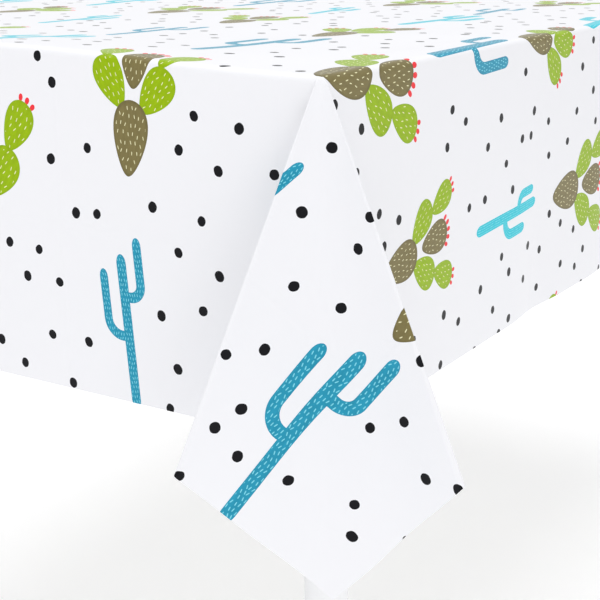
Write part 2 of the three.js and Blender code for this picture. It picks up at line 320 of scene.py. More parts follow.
def fold_path(left_wing, right_wing, settings):
    """The folded corner as the path that its hanging lines trace, and the turns of its points.

    The path is in degrees to the side and outwards. It runs from straight down out to the left
    wing's tip, turns back on a small arc, crosses in front on two curves that meet level in the
    middle, turns back at the right wing's tip and returns to straight down. Turns go from 0 to a
    quarter turn, and each stretch takes its own share of them by its length.
    """
    turn = math.degrees(settings.fold_turn)
    share = np.linspace(0, 1, 40)[:, None]
    half_turn = np.linspace(-math.pi / 2, math.pi / 2, 9)[:, None]
    wings = []
    for side, (reach, out) in zip((-1, 1), (left_wing, right_wing)):
        tip = np.array([side * math.sqrt(reach ** 2 - out ** 2), out])
        way = tip / reach
        outward = side * np.array([-way[1], way[0]])
        strip = tip * share * (1 - turn / reach) - outward * turn * share
        bow = np.cos(half_turn) * way + np.sin(half_turn) * outward
        arc = tip * (1 - turn / reach) + turn * bow
        wings.append(np.concatenate([strip, arc[1:]]))
    left, right = wings[0], wings[1][::-1]
    middle = np.array([0.5, math.degrees(settings.point_out)])
    lean = (right[0] - left[-1]) * np.array([1, 0.75])
    lean *= LEVEL_REACH / np.linalg.norm(lean)
    front_left = pulled(left[-1], middle - lean, middle, 40)
    front_right = pulled(middle, middle + lean, right[0], 40)
    path = np.concatenate([left, front_left[1:], front_right[1:-1], right])
    length = np.concatenate([[0], np.cumsum(np.linalg.norm(np.diff(path, axis=0), axis=1))])
    folds = len(left) - 5, len(left) + 38, len(path) - len(right) + 4
    marks = length[[0, *folds, -1]]
    turns = np.radians([0, left_wing[0], 45, 90 - right_wing[0], 90])
    return path, np.interp(length, marks, turns)


def hanging_lines(turns, left_wing, right_wing, settings):
    """Unit ways (to the side, outwards, down) of the lines at these turns.

    Each point of the fold path leans from the vertical by its distance from the path's start.
    """
    path, path_turns = fold_path(left_wing, right_wing, settings)
    lean = np.radians(np.hypot(path[:, 0], path[:, 1]))
    scale = np.where(lean > 1e-9, np.sin(lean) / np.maximum(lean, 1e-9), 1)
    ways = np.column_stack([np.radians(path) * scale[:, None], np.cos(lean)])
    lines = np.stack([np.interp(turns, path_turns, ways[:, k]) for k in range(3)], axis=1)
    return lines / np.linalg.norm(lines, axis=1, keepdims=True)


def corner_turns(left_wing, right_wing):
    """Turns of the corner's hanging lines: even ones, with more of them round the two folds."""
    folds = np.radians([left_wing[0], 90 - right_wing[0]])
    close = np.radians([-2.2, -1.4, -0.9, -0.6, -0.35, -0.15, 0, 0.15, 0.35, 0.6, 0.9, 1.4, 2.2])
    even = np.linspace(0, math.pi / 2, 47)
    clear = np.min(np.abs(even[:, None] - folds[None, :]), axis=1) > np.radians(2.4)
    diagonal = np.array([math.pi / 4])
    even = even[clear & (np.abs(even - diagonal) > 0.01)]
    return np.sort(np.concatenate([even, diagonal] + [fold + close for fold in folds]))


def corner_patch(corner, past, settings):
    """A square corner of the sheet, folded: a cone of straight lines from the table's corner.

    A flat point at distance r and turn t from the left skirt's edge goes to the corner, plus the
    film's round over the edge, plus r along the hanging line of turn t. Ripples grow to the hem.
    """
    _, left_way, left_wing, right_wing = corner
    left = np.array(left_way, dtype=float)
    right = np.array([-left[1], left[0]])
    outward, sideways = (left + right) / math.sqrt(2), (right - left) / math.sqrt(2)
    turns = corner_turns(left_wing, right_wing)
    lean = hanging_lines(turns, left_wing, right_wing, settings)[None, :, :]
    s, turn = np.meshgrid(past, turns, indexing="ij")
    distance = s / np.maximum(np.cos(turn), np.sin(turn))
    flat = (
        np.sign(left + right) * HALF_TOP
        + (distance * np.cos(turn))[..., None] * left
        + (distance * np.sin(turn))[..., None] * right
    )
    out, down = over_edge(distance, settings.edge_radius)
    round_way = np.cos(turn)[..., None] * left + np.sin(turn)[..., None] * right
    share = distance / (settings.drop * math.sqrt(2))
    front = np.clip(np.sin((turn - math.pi / 8) * 4), 0, 1)
    ripple = settings.ripple * share ** 3 * front * np.sin(turn * 23 + 0.6)
    level = (
        np.sign(left + right) * HALF_TOP
        + out[..., None] * round_way
        + (down[..., None] * lean[..., 0:1]) * sideways
        + (down[..., None] * lean[..., 1:2] + ripple[..., None]) * outward
    )
    height = TOP_HEIGHT + settings.lift - down * lean[..., 2]
    return flat, np.concatenate([level, height[..., None]], axis=-1)


def sheet_patches(settings):
    """The sheet's parts as pairs of grids: flat places on the cut film, and places in the room."""
    lines_x = spaced(-HALF_TOP[0], HALF_TOP[0], settings.cell)
    lines_y = spaced(-HALF_TOP[1], HALF_TOP[1], settings.cell)
    past = samples_past_edge(settings.drop, settings.edge_radius, settings.cell)
    patches = [top_patch(lines_x, lines_y, settings)]
    for sign in (-1, 1):
        patches.append(skirt_patch(0, sign, lines_y, past, settings))
        patches.append(skirt_patch(1, sign, lines_x, past, settings))
    for corner in CORNERS:
        patches.append(corner_patch(corner, past, settings))
    return patches


def joined_sheet(patches):
    """One mesh from the patches: points that share a flat place become one, and faces look up."""
    flats, places, cells, start = [], [], [], 0
    for flat, place in patches:
        rows, columns = flat.shape[:2]
        flats.append(flat.reshape(-1, 2))
        places.append(place.reshape(-1, 3))
        cells.append(grid_quads(rows, columns) + start)
        start += rows * columns
    flat, place, cell = np.concatenate(flats), np.concatenate(places), np.concatenate(cells)
    key = np.round(flat * 1e6).astype(np.int64)
    _, first, number = np.unique(key, axis=0, return_index=True, return_inverse=True)
    flat, place, cell = flat[first], place[first], number.reshape(-1)[cell]
    corner = flat[cell]
    across, along = corner[:, 2] - corner[:, 0], corner[:, 3] - corner[:, 1]
    facing = across[:, 0] * along[:, 1] - across[:, 1] * along[:, 0]
    cell = np.where((facing < 0)[:, None], cell[:, ::-1], cell)
    repeats = np.stack([cell[:, k] == cell[:, (k + 1) % 4] for k in range(4)], axis=1)
    whole = cell[~repeats.any(axis=1)]
    pinched, where = cell[repeats.any(axis=1)], repeats[repeats.any(axis=1)].argmax(axis=1)
    kept = (where[:, None] + np.array([1, 2, 3])) % 4
    triangles = np.take_along_axis(pinched, kept, axis=1)
    return flat, place, whole.tolist() + triangles.tolist()


# ---------------------------------------------------------------- the print's layout


def pear_distance(pads, x, y):
    """Distance in millimetres to a prickly pear, negative inside: the least over its pads."""
    best = np.full(x.shape, FAR)
    for across, up, lean, half_length, half_width, _, fruits, _ in pads:
        c, s = math.cos(math.radians(lean)), math.sin(math.radians(lean))
        t = (-(x - across) * s + (y - up) * c) / half_length
        w = ((x - across) * c + (y - up) * s) / (half_width * np.maximum(1 + EGG * t, 0.5))
        rim = FRUIT_REACH if fruits else 0
        best = np.minimum(best, (np.hypot(t, w) - 1) * half_width - rim)
    return best


def saguaro_distance(shape, x, y):
    """Distance in millimetres to a saguaro: the least over its trunk and its two bent arms."""
    (height, foot, top), arms = shape
    share = np.clip(y / height, 0, 1)
    beyond = np.maximum(np.abs(y - height / 2) - height / 2, 0) * TIP_STRETCH
    best = np.hypot(x, beyond) - (foot + (top - foot) * share)
    for side, reach, elbow, tip, half_width, bend in arms:
        ahead = np.maximum(side * x - (reach - bend), 0)
        below = np.minimum(y - elbow, 0)
        off = np.hypot(ahead, below) - bend
        arm = np.hypot(off, np.maximum(y - tip, 0) * TIP_STRETCH) - half_width
        best = np.minimum(best, np.maximum(arm, -side * x))
    return best


def dot_distance(x, y):
    return np.hypot(x, y) - max(DOT_RADII)


# For each motif, a function for the distance to it and how far it reaches from its foot, in
# millimetres
MOTIFS = {
    "broad_pear": (lambda x, y: pear_distance(BROAD_PEAR, x, y), 210),
    "slim_pear": (lambda x, y: pear_distance(SLIM_PEAR, x, y), 140),
    "dashed_saguaro": (lambda x, y: saguaro_distance(DASHED_SAGUARO, x, y), 140),
    "striped_saguaro": (lambda x, y: saguaro_distance(STRIPED_SAGUARO, x, y), 130),
}
SLOTS = ("plain",) + tuple(MOTIFS)
MOTIF_MEASURES = (None,) + tuple(MOTIFS.values())
DOT_MEASURE = (dot_distance, 60)


def print_places(flat):
    """Flat film places as print places: millimetres across and up from the front left corner."""
    return np.stack([-(flat[:, 1] + HALF_TOP[1]), flat[:, 0] + HALF_TOP[0]], axis=1) / MM


def local_places(places, motif):
    """Print places as seen from a motif: moved to its foot, turned upright and scaled to size 1."""
    across, up, lean, size, side = (motif[..., k] for k in range(1, 6))
    dx, dy = places[:, 0] - across, places[:, 1] - up
    c, s = np.cos(np.radians(lean)), np.sin(np.radians(lean))
    return np.stack([side * (dx * c + dy * s) / size, (-dx * s + dy * c) / size], axis=1)


def motif_columns():
    """One repeat of the print: kind, place across and up, lean, size and side of each motif."""
    random = np.random.default_rng(SEED)
    motifs = []
    for number in range(COLUMNS * ROWS):
        column, row = divmod(number, ROWS)
        kind, size = TURNS[number % len(TURNS)]
        across = column * REPEAT[0] / COLUMNS
        up = (row + column % 2 / 2) * REPEAT[1] / ROWS
        lean = random.uniform(-MOST_LEAN, MOST_LEAN)
        side = random.choice((-1, 1))
        motifs.append((kind, across, up, lean, size, side))
    return motifs


def repeated_layout(low, high):
    """Every motif that falls on the sheet, as rows of kind number, place, lean, size and side."""
    rows = []
    for kind, across, up, lean, size, side in motif_columns():
        for i in REPEATS:
            for j in REPEATS:
                place = np.array([across + i * REPEAT[0], up + j * REPEAT[1]])
                if np.all(place > low - SHEET_MARGIN) and np.all(place < high + SHEET_MARGIN):
                    rows.append([SLOTS.index(kind), place[0], place[1], lean, size, side])
    return np.array(rows, dtype=float)


def nearest_motif(places, motifs, measures):
    """For each place, the number of the nearest motif and the distance to it in millimetres."""
    distance = np.full(len(places), FAR)
    nearest = np.full(len(places), -1)
    for number, motif in enumerate(motifs):
        measure, reach = measures[int(motif[0])]
        reach = (reach + REACH_MARGIN) * motif[4]
        near = np.flatnonzero(np.hypot(places[:, 0] - motif[1], places[:, 1] - motif[2]) < reach)
        if len(near):
            local = local_places(places[near], motif)
            away = measure(local[:, 0], local[:, 1]) * motif[4]
            closer = away < distance[near]
            nearest[near[closer]], distance[near[closer]] = number, away[closer]
    return nearest, distance


def scattered_dots(low, high, motifs):
    """Dots on a triangular lattice, each moved a little by a seeded draw, and none on a motif."""
    random = np.random.default_rng(SEED)
    across = np.arange(low[0], high[0], DOT_SPACING)
    up = np.arange(low[1], high[1], DOT_SPACING * math.sqrt(3) / 2)
    x, y = np.meshgrid(across, up, indexing="xy")
    x = x + (np.arange(len(up)) % 2)[:, None] * DOT_SPACING / 2
    places = np.stack([x.ravel(), y.ravel()], axis=1)
    places += random.uniform(-DOT_JITTER, DOT_JITTER, places.shape)
    lean = random.uniform(-90, 90, len(places))
    size = random.uniform(0.93, 1.07, len(places))
    clear = nearest_motif(places, motifs, MOTIF_MEASURES)[1] > DOT_CLEARANCE
    blank = np.zeros(len(places))
    return np.column_stack([blank, places, lean, size, blank + 1])[clear]


def face_layout(mesh):
    """The mesh's corner numbers face by face, each face's first corner, and the face sizes."""
    corners = np.empty(len(mesh.loops), dtype=np.int32)
    starts = np.empty(len(mesh.polygons), dtype=np.int32)
    mesh.loops.foreach_get("vertex_index", corners)
    mesh.polygons.foreach_get("loop_start", starts)
    return corners, starts, np.diff(np.append(starts, len(corners)))


def lay_print(piece, flat, cell):
    """Gives each face its motif's slot, and the maps of its places on that motif and on its dot."""
    mesh = piece.data
    corners, starts, sizes = face_layout(mesh)
    places = print_places(flat)
    middles = np.add.reduceat(places[corners], starts, axis=0) / sizes[:, None]
    low, high = places.min(axis=0), places.max(axis=0)
    motifs = repeated_layout(low, high)
    dots = scattered_dots(low, high, motifs)
    nearest, distance = nearest_motif(middles, motifs, MOTIF_MEASURES)
    nearest[distance > cell / MM * FACE_MARGIN] = -1
    slot = np.where(nearest >= 0, motifs[nearest, 0], 0).astype(np.int32)
    mesh.polygons.foreach_set("material_index", slot)
    dot, _ = nearest_motif(middles, dots, (DOT_MEASURE,))
    for name, owner in (("motif", motifs[nearest]), ("dot", dots[dot])):
        local = local_places(places[corners], np.repeat(owner, sizes, axis=0))
        add_map(mesh, name, local * MM / PRINT_UNIT)
    sheet = (flat[corners] - flat.min(axis=0)) / (flat.max(axis=0) - flat.min(axis=0))
    add_map(mesh, "OFBake", sheet)


def add_map(mesh, name, places):
    layer = mesh.uv_layers.new(name=name)
    layer.data.foreach_set("uv", places.astype(np.float32).ravel())


# ---------------------------------------------------------------- shader helpers


class Nodes:
    """Short calls for a node tree: each adds one node and returns its output."""

    def __init__(self, tree):
        self.tree = tree

    def put(self, socket, value):
        if isinstance(value, bpy.types.NodeSocket):
            self.tree.links.new(value, socket)
        elif value is not None:
            socket.default_value = value

    def add(self, kind, inputs=(), **settings):
        node = self.tree.nodes.new(kind)
        for name, value in settings.items():
            setattr(node, name, value)
        for name, value in dict(inputs).items():
            self.put(node.inputs[name], value)
        return node

    def math(self, operation, *values):
        node = self.add("ShaderNodeMath", operation=operation)
        for socket, value in zip(node.inputs, values):
            self.put(socket, value)
        return node.outputs[0]

    def vector(self, operation, *values):
        node = self.add("ShaderNodeVectorMath", operation=operation)
        for socket, value in zip(node.inputs, values):
            self.put(socket, value)
        return node.outputs["Value" if operation == "LENGTH" else "Vector"]

    def scaled(self, vector, factor):
        node = self.add("ShaderNodeVectorMath", {0: vector, "Scale": factor}, operation="SCALE")
        return node.outputs["Vector"]

    def map_place(self, name):
        """The place in one of the print maps, in millimetres."""
        return self.scaled(self.add("ShaderNodeUVMap", uv_map=name).outputs[0], PRINT_UNIT / MM)

    def pair(self, x, y):
        return self.add("ShaderNodeCombineXYZ", {"X": x, "Y": y}).outputs[0]

    def split(self, vector):
        node = self.add("ShaderNodeSeparateXYZ", {"Vector": vector})
        return node.outputs[0], node.outputs[1]

    def mix(self, share, first, second):
        node = self.add("ShaderNodeMix", data_type="RGBA")
        for index, value in ((0, share), (6, first), (7, second)):
            self.put(node.inputs[index], value if index == 0 else rgba(value))
        return node.outputs[2]

    def placed(self, vector, across, up, lean, width, height):
        """The vector from a shape's middle, upright, in units of its half width and length."""
        node = self.add("ShaderNodeMapping", {"Vector": vector}, vector_type="TEXTURE")
        node.inputs["Location"].default_value = (across, up, 0)
        node.inputs["Rotation"].default_value = (0, 0, math.radians(lean))
        node.inputs["Scale"].default_value = (width, height, 1)
        return node.outputs[0]

    def noise(self, vector, scale, detail=2.0, roughness=0.5):
        inputs = {"Vector": vector, "Scale": scale, "Detail": detail, "Roughness": roughness}
        return self.add("ShaderNodeTexNoise", inputs).outputs["Fac"]

    def group(self, tree, **inputs):
        node = self.add("ShaderNodeGroup", node_tree=tree)
        for name, value in inputs.items():
            self.put(node.inputs[name.replace("_", " ").capitalize()], value)
        return node.outputs


def rgba(value):
    if isinstance(value, bpy.types.NodeSocket) or value is None:
        return value
    return (*tuple(value)[:3], 1.0)


def new_group(name, inputs, outputs):
    """An empty node group with float, vector or colour sockets, its node calls and its two ends."""
    kinds = {"f": "NodeSocketFloat", "v": "NodeSocketVector", "c": "NodeSocketColor"}
    tree = bpy.data.node_groups.new(name, "ShaderNodeTree")
    for way, sockets in (("INPUT", inputs), ("OUTPUT", outputs)):
        for label, kind in sockets:
            tree.interface.new_socket(label, in_out=way, socket_type=kinds[kind])
    nodes = Nodes(tree)
    entry = tree.nodes.new("NodeGroupInput").outputs
    leave = tree.nodes.new("NodeGroupOutput").inputs
    return tree, nodes, entry, leave


# ---------------------------------------------------------------- the print's shapes as nodes


def dash_group():
    """Scattered dashes: one in each cell of a grid, moved and turned by the cell's random draw."""
    tree, n, entry, leave = new_group(
        "print_dashes", (("Place", "v"), ("Cell", "v"), ("Half", "v")), (("Mask", "f"),)
    )
    grid = n.vector("DIVIDE", entry["Place"], entry["Cell"])
    column, row = n.split(grid)
    shifted = n.math("MULTIPLY_ADD", n.math("FLOOR", row), 0.5, column)
    grid = n.pair(shifted, row)
    number = n.vector("FLOOR", grid)
    draw = n.add("ShaderNodeTexWhiteNoise", {"Vector": number}, noise_dimensions="3D")
    jitter = n.vector("MULTIPLY_ADD", draw.outputs["Color"], (0.4, 0.3, 0), (-0.7, -0.65, 0))
    inside = n.vector("ADD", n.vector("SUBTRACT", grid, number), jitter)
    inside = n.vector("MULTIPLY", inside, entry["Cell"])
    turn = n.math("MULTIPLY_ADD", draw.outputs["Value"], 0.9, -0.45)
    inputs = {"Vector": inside, "Angle": turn}
    turned = n.add("ShaderNodeVectorRotate", inputs, rotation_type="Z_AXIS")
    share = n.vector("DIVIDE", turned.outputs[0], entry["Half"])
    x, y = n.split(share)
    length = n.vector("LENGTH", n.pair(x, n.math("MULTIPLY", y, n.math("ABSOLUTE", y))))
    n.put(leave["Mask"], n.math("LESS_THAN", length, 1.0))
    return tree


def pad_group(dashes):
    """An egg: wider towards its tip, with painted streaks, a darker rim and cream dashes inside."""
    tree, n, entry, leave = new_group(
        "print_pad",
        (
            ("Share", "v"), ("Size", "v"), ("Paint", "c"), ("Cream", "c"), ("Shade", "f"),
            ("Dash scale", "f"),
        ),
        (("Colour", "c"), ("Mask", "f"), ("Egg", "v")),
    )
    x, t = n.split(entry["Share"])
    egg = n.pair(n.math("DIVIDE", x, n.math("MULTIPLY_ADD", t, EGG, 1.0)), t)
    edge = n.vector("LENGTH", egg)
    place = n.vector("MULTIPLY", entry["Share"], entry["Size"])
    stretched = n.vector("MULTIPLY", place, (0.22, 0.07, 0.1))
    streak = n.noise(stretched, 1.0, 3.0, 0.6)
    tone = n.math("MULTIPLY_ADD", streak, 0.5, 0.76)
    rim = n.add(
        "ShaderNodeMapRange",
        {"Value": edge, "From Min": 0.86, "From Max": 1.0, "To Min": 0.0, "To Max": entry["Shade"]},
        interpolation_type="SMOOTHSTEP",
    ).outputs[0]
    tone = n.math("SUBTRACT", tone, rim)
    paint = n.scaled(entry["Paint"], tone)
    dash_place = n.scaled(place, entry["Dash scale"])
    dash = n.group(dashes, place=dash_place, cell=(6.0, 8.4, 1.0), half=(0.4, 1.9, 1.0))["Mask"]
    dash = n.math("MULTIPLY", dash, n.math("LESS_THAN", edge, DASHED_SHARE))
    n.put(leave["Colour"], n.mix(dash, paint, entry["Cream"]))
    n.put(leave["Mask"], n.math("LESS_THAN", edge, 1.0))
    n.put(leave["Egg"], egg)
    return tree


def crown_group():
    """Fruits on a pad's rim: small ovals at even angles either side of a middle angle."""
    tree, n, entry, leave = new_group(
        "print_fruits",
        (("Egg", "v"), ("Middle", "f"), ("Step", "f"), ("Most", "f")),
        (("Mask", "f"),),
    )
    x, t = n.split(entry["Egg"])
    angle = n.math("SUBTRACT", n.math("ARCTAN2", n.math("MULTIPLY", x, -1.0), t), entry["Middle"])
    share = n.math("DIVIDE", angle, entry["Step"])
    from_last = n.math("ROUND", n.math("SUBTRACT", share, entry["Most"]))
    nearest = n.math("ADD", from_last, entry["Most"])
    low = n.math("MULTIPLY", entry["Most"], -1.0)
    number = n.math("MINIMUM", n.math("MAXIMUM", nearest, low), entry["Most"])
    off = n.math("MULTIPLY", n.math("SUBTRACT", share, number), entry["Step"])
    away = n.math("SUBTRACT", n.vector("LENGTH", entry["Egg"]), 1.1)
    across = n.math("DIVIDE", off, 0.1)
    along = n.math("DIVIDE", away, 0.14)
    n.put(leave["Mask"], n.math("LESS_THAN", n.vector("LENGTH", n.pair(across, along)), 1.0))
    return tree


def pear_colour(n, place, pads, dash_scale, ground, paint, groups):
    """The pads painted one over another from the back to the front, each over its own fruits."""
    pad_tree, crown_tree = groups["pad"], groups["crown"]
    colour = ground
    for across, up, lean, half_length, half_width, finish, fruits, middle in pads:
        share = n.placed(place, across, up, lean, half_width, half_length)
        size = (half_width, half_length, 1.0)
        shade = 0.2 if finish == "olive" else 0.1
        pad = n.group(
            pad_tree, share=share, size=size, paint=rgba(getattr(paint, finish)),
            cream=rgba(paint.cream), shade=shade, dash_scale=dash_scale,
        )
        if fruits:
            crown = n.group(
                crown_tree, egg=pad["Egg"], middle=math.radians(middle), step=FRUIT_STEP,
                most=(fruits - 1) / 2,
            )
            colour = n.mix(crown["Mask"], colour, tuple(paint.fruit))
        colour = n.mix(pad["Mask"], colour, pad["Colour"])
    return colour


def saguaro_limbs(n, place, shape):
    """Distance to the nearest limb, negative inside, and the place across and along that limb."""
    (height, foot, top), arms = shape
    x, y = n.split(place)
    share = n.math("MAXIMUM", n.math("MINIMUM", n.math("DIVIDE", y, height), 1.0), 0.0)
    width = n.math("MULTIPLY_ADD", share, top - foot, foot)
    over = n.math("ABSOLUTE", n.math("SUBTRACT", y, height / 2))
    past_end = n.math("MAXIMUM", n.math("SUBTRACT", over, height / 2), 0.0)
    beyond = n.math("MULTIPLY", past_end, TIP_STRETCH)
    nearest = n.math("SUBTRACT", n.vector("LENGTH", n.pair(x, beyond)), width)
    across = x
    for side, reach, elbow, tip, half_width, bend in arms:
        ahead = n.math("MAXIMUM", n.math("MULTIPLY_ADD", x, side, bend - reach), 0.0)
        below = n.math("MINIMUM", n.math("SUBTRACT", y, elbow), 0.0)
        off = n.math("SUBTRACT", n.vector("LENGTH", n.pair(ahead, below)), bend)
        above = n.math("MULTIPLY", n.math("MAXIMUM", n.math("SUBTRACT", y, tip), 0.0), TIP_STRETCH)
        arm = n.math("SUBTRACT", n.vector("LENGTH", n.pair(off, above)), half_width)
        arm = n.math("MAXIMUM", arm, n.math("MULTIPLY", x, -side))
        is_arm = n.math("LESS_THAN", arm, nearest)
        change = n.math("SUBTRACT", off, across)
        across = n.math("MULTIPLY_ADD", change, is_arm, across)
        nearest = n.math("MINIMUM", nearest, arm)
    return nearest, across, y


def dashed_saguaro_colour(n, place, ground, paint, groups):
    """A teal saguaro with streaky paint and short light dashes along its limbs."""
    inside, _, _ = saguaro_limbs(n, place, DASHED_SAGUARO)
    streak = n.noise(n.vector("MULTIPLY", place, (0.25, 0.06, 0.1)), 1.0, 3.0, 0.6)
    body = n.scaled(tuple(paint.teal), n.math("MULTIPLY_ADD", streak, 0.6, 0.72))
    dash = n.group(groups["dash"], place=place, cell=(2.5, 3.9, 1.0), half=(0.33, 1.2, 1.0))["Mask"]
    dash = n.math("MULTIPLY", dash, n.math("LESS_THAN", inside, -0.6))
    body = n.mix(dash, body, tuple(paint.teal_dash))
    return n.mix(n.math("LESS_THAN", inside, 0.0), ground, body)


def striped_saguaro_colour(n, place, ground, paint, groups):
    """A turquoise saguaro with thin, broken light lines that follow its limbs."""
    inside, across, y = saguaro_limbs(n, place, STRIPED_SAGUARO)
    wander = n.noise(n.vector("MULTIPLY", place, (0.02, 0.03, 0.1)), 1.0)
    line = n.math("DIVIDE", n.math("MULTIPLY_ADD", wander, 2.4, across), 2.0)
    breaks = n.noise(n.pair(n.math("FLOOR", line), n.math("MULTIPLY", y, 0.07)), 3.0)
    drawn = n.math("LESS_THAN", n.math("FRACT", line), n.math("MULTIPLY_ADD", breaks, 0.8, -0.25))
    drawn = n.math("MULTIPLY", drawn, n.math("LESS_THAN", inside, -0.7))
    drawn = n.math("MULTIPLY", drawn, 0.7)
    body = n.mix(drawn, tuple(paint.turquoise), tuple(paint.turquoise_line))
    return n.mix(n.math("LESS_THAN", inside, 0.0), ground, body)


def dotted_ground(n, paint):
    """The film's white with black ovals of a slightly uneven rim."""
    place = n.map_place("dot")
    share = n.vector("DIVIDE", place, (*DOT_RADII, 1.0))
    uneven = n.math("MULTIPLY_ADD", n.noise(place, 0.25, 1.0), 0.2, -0.1)
    edge = n.math("ADD", n.vector("LENGTH", share), uneven)
    return n.mix(n.math("LESS_THAN", edge, 1.0), tuple(paint.ground), tuple(paint.black))


def broad_pear_colour(n, place, ground, paint, groups):
    return pear_colour(n, place, BROAD_PEAR, 1.0, ground, paint, groups)


def slim_pear_colour(n, place, ground, paint, groups):
    return pear_colour(n, place, SLIM_PEAR, 1.35, ground, paint, groups)


PRINT_COLOURS = {
    "broad_pear": broad_pear_colour,
    "slim_pear": slim_pear_colour,
    "dashed_saguaro": dashed_saguaro_colour,
    "striped_saguaro": striped_saguaro_colour,
}


def film_relief(n, size):
    """Height of the film's surface: soft wrinkles, fine dimples and faint packing lines."""
    place = n.vector("MULTIPLY", n.add("ShaderNodeUVMap", uv_map="OFBake").outputs[0], (*size, 1))
    soft = n.noise(place, 9.0, 3.0, 0.45)
    fine = n.noise(place, 140.0, 2.0, 0.5)
    lines = []
    for value, spacing in zip(n.split(place), (size[0] / 8, size[1] / 8)):
        share = n.math("FRACT", n.math("DIVIDE", value, spacing))
        share = n.math("ABSOLUTE", n.math("SUBTRACT", share, 0.5))
        inputs = {"Value": share, "From Min": 0.0, "From Max": 0.014, "To Min": 1.0, "To Max": 0.0}
        line = n.add("ShaderNodeMapRange", inputs, interpolation_type="SMOOTHSTEP")
        lines.append(line.outputs[0])
    packed = n.math("MAXIMUM", *lines)
    return n.math("MULTIPLY_ADD", packed, 0.06, n.math("MULTIPLY_ADD", fine, 0.015, soft))


def film_material(kind, size, paint, groups):
    """White glossy film with its dots and one kind of motif on it."""
    material = bpy.data.materials.new(f"film_{kind}")
    material.use_nodes = True
    n = Nodes(material.node_tree)
    shader = material.node_tree.nodes["Principled BSDF"]
    colour = dotted_ground(n, paint)
    if kind in PRINT_COLOURS:
        colour = PRINT_COLOURS[kind](n, n.map_place("motif"), colour, paint, groups)
    n.put(shader.inputs["Base Color"], colour)
    shader.inputs["Roughness"].default_value = 0.28
    shader.inputs["IOR"].default_value = 1.45
    shader.inputs["Specular IOR Level"].default_value = 0.14
    add_relief(n, shader, film_relief(n, size), 0.0022, 0.75)
    return material


# ---------------------------------------------------------------- table finishes


def plain_material(name, colour, roughness, metallic=0.0, coat=0.0):
    material = bpy.data.materials.new(name)
    material.use_nodes = True
    shader = material.node_tree.nodes["Principled BSDF"]
    shader.inputs["Base Color"].default_value = rgba(colour)
    shader.inputs["Roughness"].default_value = roughness
    shader.inputs["Metallic"].default_value = metallic
    shader.inputs["Coat Weight"].default_value = coat
    return material, Nodes(material.node_tree), shader


def add_relief(n, shader, height, distance, strength=0.4):
    bump = n.add("ShaderNodeBump", {"Height": height, "Distance": distance, "Strength": strength})
    n.put(shader.inputs["Normal"], bump.outputs[0])


# The table's finishes: colour under the tone, the two colours that the tone's noise runs between,
# each noise as scale, detail, roughness and stretch, relief in metres, and roughness, which may
# follow one of the noises as (which, how much, from what)
FINISHES = {
    # Warm white with a fine grey speckle and a low pebbled texture
    "laminate": dict(
        base=(0.76, 0.745, 0.7), colours=((0.66, 0.645, 0.6), (0.84, 0.825, 0.79)),
        tone=(900.0, 2.0, 0.7), surface=(2200.0,), relief=0.0001, roughness=0.42,
    ),
    # Faint streaks along the band and a fine matt grain
    "banding": dict(
        base=(0.66, 0.65, 0.62), colours=((0.6, 0.59, 0.56), (0.7, 0.69, 0.66)),
        tone=(1.0, 2.0, 0.5, (12, 12, 900)), surface=(1500.0,), relief=0.00008, roughness=0.5,
    ),
    # Off-white powder coat with orange peel and slightly uneven gloss
    "painted_steel": dict(
        base=(0.84, 0.845, 0.85), colours=((0.82, 0.825, 0.83), (0.86, 0.865, 0.87)),
        tone=(9.0,), surface=(420.0, 3.0), relief=0.00025,
        roughness=0.34, follows=("surface", 0.14, 0.27), coat=0.15,
    ),
    # Grainy skin with dull and bright patches
    "cast_alloy": dict(
        base=(0.52, 0.53, 0.55), colours=((0.44, 0.45, 0.47), (0.6, 0.61, 0.62)),
        tone=(40.0,), surface=(700.0, 3.0, 0.6), relief=0.0003,
        roughness=0.46, follows=("surface", 0.25, 0.33), metallic=0.9,
    ),
    # Pale plating with fine turning marks round the piece
    "zinc_steel": dict(
        base=(0.58, 0.59, 0.57), colours=((0.5, 0.51, 0.48), (0.66, 0.67, 0.66)),
        tone=(1.0, 2.0, 0.5, (60, 60, 4000)), surface=(1.0, 2.0, 0.5, (60, 60, 4000)),
        relief=0.0001, roughness=0.34, follows=("tone", 0.2, 0.24), metallic=1.0,
    ),
    # Dull and oily patches
    "black_steel": dict(
        base=(0.018, 0.018, 0.02), colours=((0.012, 0.012, 0.014), (0.035, 0.034, 0.036)),
        tone=(300.0, 3.0), roughness=0.45, follows=("tone", 0.3, 0.3), metallic=0.7,
    ),
    # Moulded grey with a fine spark texture and scuffs
    "nylon": dict(
        base=(0.03, 0.032, 0.036), colours=((0.022, 0.023, 0.026), (0.05, 0.052, 0.056)),
        tone=(70.0, 4.0, 0.65), surface=(1300.0, 2.0, 0.6), relief=0.0002,
        roughness=0.55, follows=("tone", 0.25, 0.42),
    ),
}


def object_noise(n, scale, detail=2.0, roughness=0.5, stretch=(1, 1, 1)):
    """Noise that is fixed to its piece and stretched along the piece's axes."""
    place = n.vector("MULTIPLY", n.add("ShaderNodeTexCoord").outputs["Object"], stretch)
    return n.noise(place, scale, detail, roughness)


def table_material(name):
    """One of the table's finishes."""
    finish = FINISHES[name]
    material, n, shader = plain_material(
        name, finish["base"], finish["roughness"],
        finish.get("metallic", 0.0), finish.get("coat", 0.0),
    )
    noises = {
        kind: object_noise(n, *finish[kind]) for kind in ("tone", "surface") if kind in finish
    }
    n.put(shader.inputs["Base Color"], n.mix(noises["tone"], *finish["colours"]))
    if "follows" in finish:
        which, amount, least = finish["follows"]
        n.put(shader.inputs["Roughness"], n.math("MULTIPLY_ADD", noises[which], amount, least))
    if "surface" in finish:
        add_relief(n, shader, noises["surface"], finish["relief"])
    return material


